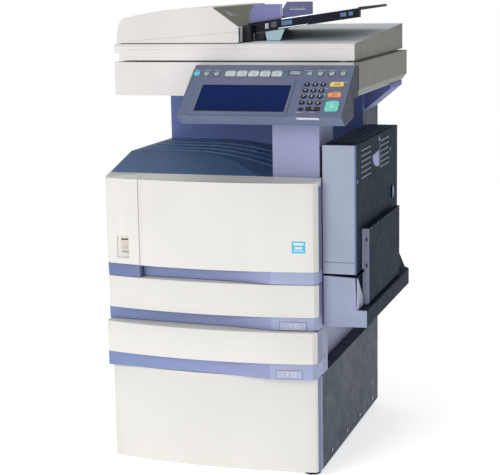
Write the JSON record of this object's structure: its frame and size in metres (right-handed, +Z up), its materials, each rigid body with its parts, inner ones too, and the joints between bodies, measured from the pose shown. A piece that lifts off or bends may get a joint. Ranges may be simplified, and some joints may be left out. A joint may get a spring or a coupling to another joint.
{
  "type": "photocopier",
  "caption": "Free-standing office photocopier with paper cassettes, output bay, tilted key panel, side paper unit, scanner and a hinged document feeder with a sloping tray.",
  "frame": {"origin": "middle of the machine's bounding box, on the floor under the feet", "axes": "+X to the machine's right seen from the front, +Y to the back, +Z up"},
  "size_m": [0.637, 0.719, 1.117],
  "materials": {
    "front_white": "fine moulded grain",
    "top_white": "fine moulded grain",
    "stand_grey": "powder coat",
    "foot_rubber": "matte",
    "frame_steel": "zinc plated sheet",
    "slate_cover": "textured",
    "lavender": "textured",
    "lavender_light": "textured",
    "column_blue": "textured",
    "tray_slate": "satin, sheet-worn",
    "switch_grey": "gloss",
    "grip_blue": "textured",
    "toner_black": "matte",
    "drum_green": "polished coating",
    "platen_glass": "polished",
    "roller_rubber": "fine ground",
    "tray_navy": "semi gloss",
    "guide_lavender": "satin",
    "latch_lavender": "satin",
    "panel_grey": "fine grain",
    "lcd_blue": "glossy film",
    "screw_steel": "plated",
    "cassette_grey": "moulded",
    "key_dark": "satin",
    "key_grey": "satin",
    "key_yellow": "satin",
    "key_orange": "satin",
    "key_teal": "satin",
    "key_cyan": "satin"
  },
  "bodies": {
    "main_unit": {"stand_cabinet": "stand_grey", "stand_front_panel": "front_white", "stand_feet": "foot_rubber", "body_frame": "frame_steel", "left_cover": "top_white", "rear_cover": "slate_cover", "right_lower_cover": "lavender", "rear_column_cover": "column_blue", "front_column_cover": "lavender", "exit_tray": "tray_slate", "front_left_panel": "front_white", "toner_cartridge": "toner_black", "scanner_housing": "top_white", "platen_glass": "platen_glass", "control_panel_housing": "panel_grey", "lcd_screen": "lcd_blue", "cover_screws": "screw_steel"},
    "power_rocker": {"power_switch": "switch_grey"},
    "front_door": {"front_cover": "front_white", "front_cover_grip": "grip_blue"},
    "upper_cassette": {"cassette_1_front": "front_white", "cassette_1_grip": "grip_blue", "cassette_1_tray": "cassette_grey"},
    "lower_cassette": {"cassette_2_front": "front_white", "cassette_2_grip": "grip_blue", "cassette_2_tray": "cassette_grey"},
    "drum_rotor": {"drum": "drum_green"},
    "carriage": {"scan_carriage": "frame_steel"},
    "feeder": {"adf_base": "top_white"},
    "feeder_lid": {"adf_cover": "top_white"},
    "feed_rotor": {"adf_feed_roller": "roller_rubber"},
    "originals_tray": {"document_tray": "tray_navy"},
    "guide_front": {"document_guide_front": "guide_lavender"},
    "guide_rear": {"document_guide_rear": "guide_lavender"},
    "side_unit": {"side_unit_cover": "slate_cover", "lower_side_block": "lavender_light"},
    "side_latch": {"side_unit_latch": "latch_lavender"},
    "hand_feed_tray": {"bypass_tray": "slate_cover"},
    "key_1_cap": {"key_1": "key_dark"},
    "key_2_cap": {"key_2": "key_dark"},
    "key_3_cap": {"key_3": "key_dark"},
    "key_4_cap": {"key_4": "key_dark"},
    "key_5_cap": {"key_5": "key_dark"},
    "key_6_cap": {"key_6": "key_dark"},
    "key_7_cap": {"key_7": "key_dark"},
    "key_8_cap": {"key_8": "key_dark"},
    "key_9_cap": {"key_9": "key_dark"},
    "key_star_cap": {"key_star": "key_dark"},
    "key_0_cap": {"key_0": "key_dark"},
    "key_hash_cap": {"key_hash": "key_dark"},
    "mode_key_1_cap": {"mode_key_1": "key_grey"},
    "mode_key_2_cap": {"mode_key_2": "key_grey"},
    "mode_key_3_cap": {"mode_key_3": "key_grey"},
    "mode_key_4_cap": {"mode_key_4": "key_grey"},
    "mode_key_5_cap": {"mode_key_5": "key_grey"},
    "clear_key_cap": {"clear_key": "key_dark"},
    "function_clear_key_cap": {"function_clear_key": "key_yellow"},
    "stop_key_cap": {"stop_key": "key_orange"},
    "start_key_cap": {"start_key": "key_teal"},
    "power_save_key_cap": {"power_save_key": "key_cyan"}
  },
  "joints": [
    {"name": "power_switch_rock", "type": "hinge", "parent": "main_unit", "child": "power_rocker", "pos_m": [-0.2655, -0.28873, 0.5505], "axis": [1, 0, 0], "range_deg": [-8, 8]},
    {"name": "front_door_hinge", "type": "hinge", "parent": "main_unit", "child": "front_door", "pos_m": [0.2075, -0.2555, 0.61], "axis": [0, 0, 1], "range_deg": [0, 90]},
    {"name": "upper_cassette_slide", "type": "slide", "parent": "main_unit", "child": "upper_cassette", "axis": [0, -1, 0], "range_m": [0, 0.4]},
    {"name": "lower_cassette_slide", "type": "slide", "parent": "main_unit", "child": "lower_cassette", "axis": [0, -1, 0], "range_m": [0, 0.4]},
    {"name": "drum_spin", "type": "hinge", "parent": "main_unit", "child": "drum_rotor", "pos_m": [-0.0185, -0.0245, 0.6], "axis": [0, 1, 0], "continuous": true},
    {"name": "scan_carriage_slide", "type": "slide", "parent": "main_unit", "child": "carriage", "axis": [1, 0, 0], "range_m": [0, 0.36]},
    {"name": "feeder_hinge", "type": "hinge", "parent": "main_unit", "child": "feeder", "pos_m": [-0.0185, 0.3535, 0.99], "axis": [-1, 0, 0], "range_deg": [0, 60]},
    {"name": "feeder_lid_hinge", "type": "hinge", "parent": "feeder", "child": "feeder_lid", "pos_m": [-0.3125, 0.0305, 1.033], "axis": [0, -1, 0], "range_deg": [0, 80]},
    {"name": "feed_roller_spin", "type": "hinge", "parent": "feeder", "child": "feed_rotor", "pos_m": [-0.0565, 0.0205, 1.046], "axis": [0, 1, 0], "continuous": true},
    {"name": "originals_tray_lift", "type": "hinge", "parent": "feeder", "child": "originals_tray", "pos_m": [0.0075, 0.0305, 1.062], "axis": [0, -1, 0], "range_deg": [0, 25]},
    {"name": "guide_front_slide", "type": "slide", "parent": "originals_tray", "child": "guide_front", "axis": [0, 1, 0], "range_m": [0, 0.06]},
    {"name": "guide_rear_slide", "type": "slide", "parent": "originals_tray", "child": "guide_rear", "axis": [0, 1, 0], "range_m": [-0.06, 0]},
    {"name": "side_unit_hinge", "type": "hinge", "parent": "main_unit", "child": "side_unit", "pos_m": [0.2195, -0.0195, 0.371], "axis": [0, 1, 0], "range_deg": [0, 35]},
    {"name": "side_latch_pull", "type": "hinge", "parent": "side_unit", "child": "side_latch", "pos_m": [0.2855, -0.0355, 0.774], "axis": [0, 1, 0], "range_deg": [0, 15], "stiffness_Nm_per_rad": 0.2},
    {"name": "hand_feed_tray_hinge", "type": "hinge", "parent": "side_unit", "child": "hand_feed_tray", "pos_m": [0.3045, -0.0155, 0.418], "axis": [0, 1, 0], "range_deg": [0, 78]},
    {"name": "key_1_press", "type": "slide", "parent": "main_unit", "child": "key_1_cap", "axis": [0, 0.6168, -0.7871], "range_m": [0, 0.001], "stiffness_N_per_m": 300},
    {"name": "key_2_press", "type": "slide", "parent": "main_unit", "child": "key_2_cap", "axis": [0, 0.6168, -0.7871], "range_m": [0, 0.001], "stiffness_N_per_m": 300},
    {"name": "key_3_press", "type": "slide", "parent": "main_unit", "child": "key_3_cap", "axis": [0, 0.6168, -0.7871], "range_m": [0, 0.001], "stiffness_N_per_m": 300},
    {"name": "key_4_press", "type": "slide", "parent": "main_unit", "child": "key_4_cap", "axis": [0, 0.6168, -0.7871], "range_m": [0, 0.001], "stiffness_N_per_m": 300},
    {"name": "key_5_press", "type": "slide", "parent": "main_unit", "child": "key_5_cap", "axis": [0, 0.6168, -0.7871], "range_m": [0, 0.001], "stiffness_N_per_m": 300},
    {"name": "key_6_press", "type": "slide", "parent": "main_unit", "child": "key_6_cap", "axis": [0, 0.6168, -0.7871], "range_m": [0, 0.001], "stiffness_N_per_m": 300},
    {"name": "key_7_press", "type": "slide", "parent": "main_unit", "child": "key_7_cap", "axis": [0, 0.6168, -0.7871], "range_m": [0, 0.001], "stiffness_N_per_m": 300},
    {"name": "key_8_press", "type": "slide", "parent": "main_unit", "child": "key_8_cap", "axis": [0, 0.6168, -0.7871], "range_m": [0, 0.001], "stiffness_N_per_m": 300},
    {"name": "key_9_press", "type": "slide", "parent": "main_unit", "child": "key_9_cap", "axis": [0, 0.6168, -0.7871], "range_m": [0, 0.001], "stiffness_N_per_m": 300},
    {"name": "key_star_press", "type": "slide", "parent": "main_unit", "child": "key_star_cap", "axis": [0, 0.6168, -0.7871], "range_m": [0, 0.001], "stiffness_N_per_m": 300},
    {"name": "key_0_press", "type": "slide", "parent": "main_unit", "child": "key_0_cap", "axis": [0, 0.6168, -0.7871], "range_m": [0, 0.001], "stiffness_N_per_m": 300},
    {"name": "key_hash_press", "type": "slide", "parent": "main_unit", "child": "key_hash_cap", "axis": [0, 0.6168, -0.7871], "range_m": [0, 0.001], "stiffness_N_per_m": 300},
    {"name": "mode_key_1_press", "type": "slide", "parent": "main_unit", "child": "mode_key_1_cap", "axis": [0, 0.6168, -0.7871], "range_m": [0, 0.001], "stiffness_N_per_m": 300},
    {"name": "mode_key_2_press", "type": "slide", "parent": "main_unit", "child": "mode_key_2_cap", "axis": [0, 0.6168, -0.7871], "range_m": [0, 0.001], "stiffness_N_per_m": 300},
    {"name": "mode_key_3_press", "type": "slide", "parent": "main_unit", "child": "mode_key_3_cap", "axis": [0, 0.6168, -0.7871], "range_m": [0, 0.001], "stiffness_N_per_m": 300},
    {"name": "mode_key_4_press", "type": "slide", "parent": "main_unit", "child": "mode_key_4_cap", "axis": [0, 0.6168, -0.7871], "range_m": [0, 0.001], "stiffness_N_per_m": 300},
    {"name": "mode_key_5_press", "type": "slide", "parent": "main_unit", "child": "mode_key_5_cap", "axis": [0, 0.6168, -0.7871], "range_m": [0, 0.001], "stiffness_N_per_m": 300},
    {"name": "clear_key_press", "type": "slide", "parent": "main_unit", "child": "clear_key_cap", "axis": [0, 0.6168, -0.7871], "range_m": [0, 0.001], "stiffness_N_per_m": 300},
    {"name": "function_clear_key_press", "type": "slide", "parent": "main_unit", "child": "function_clear_key_cap", "axis": [0, 0.6168, -0.7871], "range_m": [0, 0.001], "stiffness_N_per_m": 300},
    {"name": "stop_key_press", "type": "slide", "parent": "main_unit", "child": "stop_key_cap", "axis": [0, 0.6168, -0.7871], "range_m": [0, 0.001], "stiffness_N_per_m": 300},
    {"name": "start_key_press", "type": "slide", "parent": "main_unit", "child": "start_key_cap", "axis": [0, 0.6168, -0.7871], "range_m": [0, 0.001], "stiffness_N_per_m": 300},
    {"name": "power_save_key_press", "type": "slide", "parent": "main_unit", "child": "power_save_key_cap", "axis": [0, 0.6168, -0.7871], "range_m": [0, 0.001], "stiffness_N_per_m": 300}
  ],
  "couplings": [
    {"joint": "guide_rear_slide", "follows": "guide_front_slide", "ratio": -1}
  ]
}
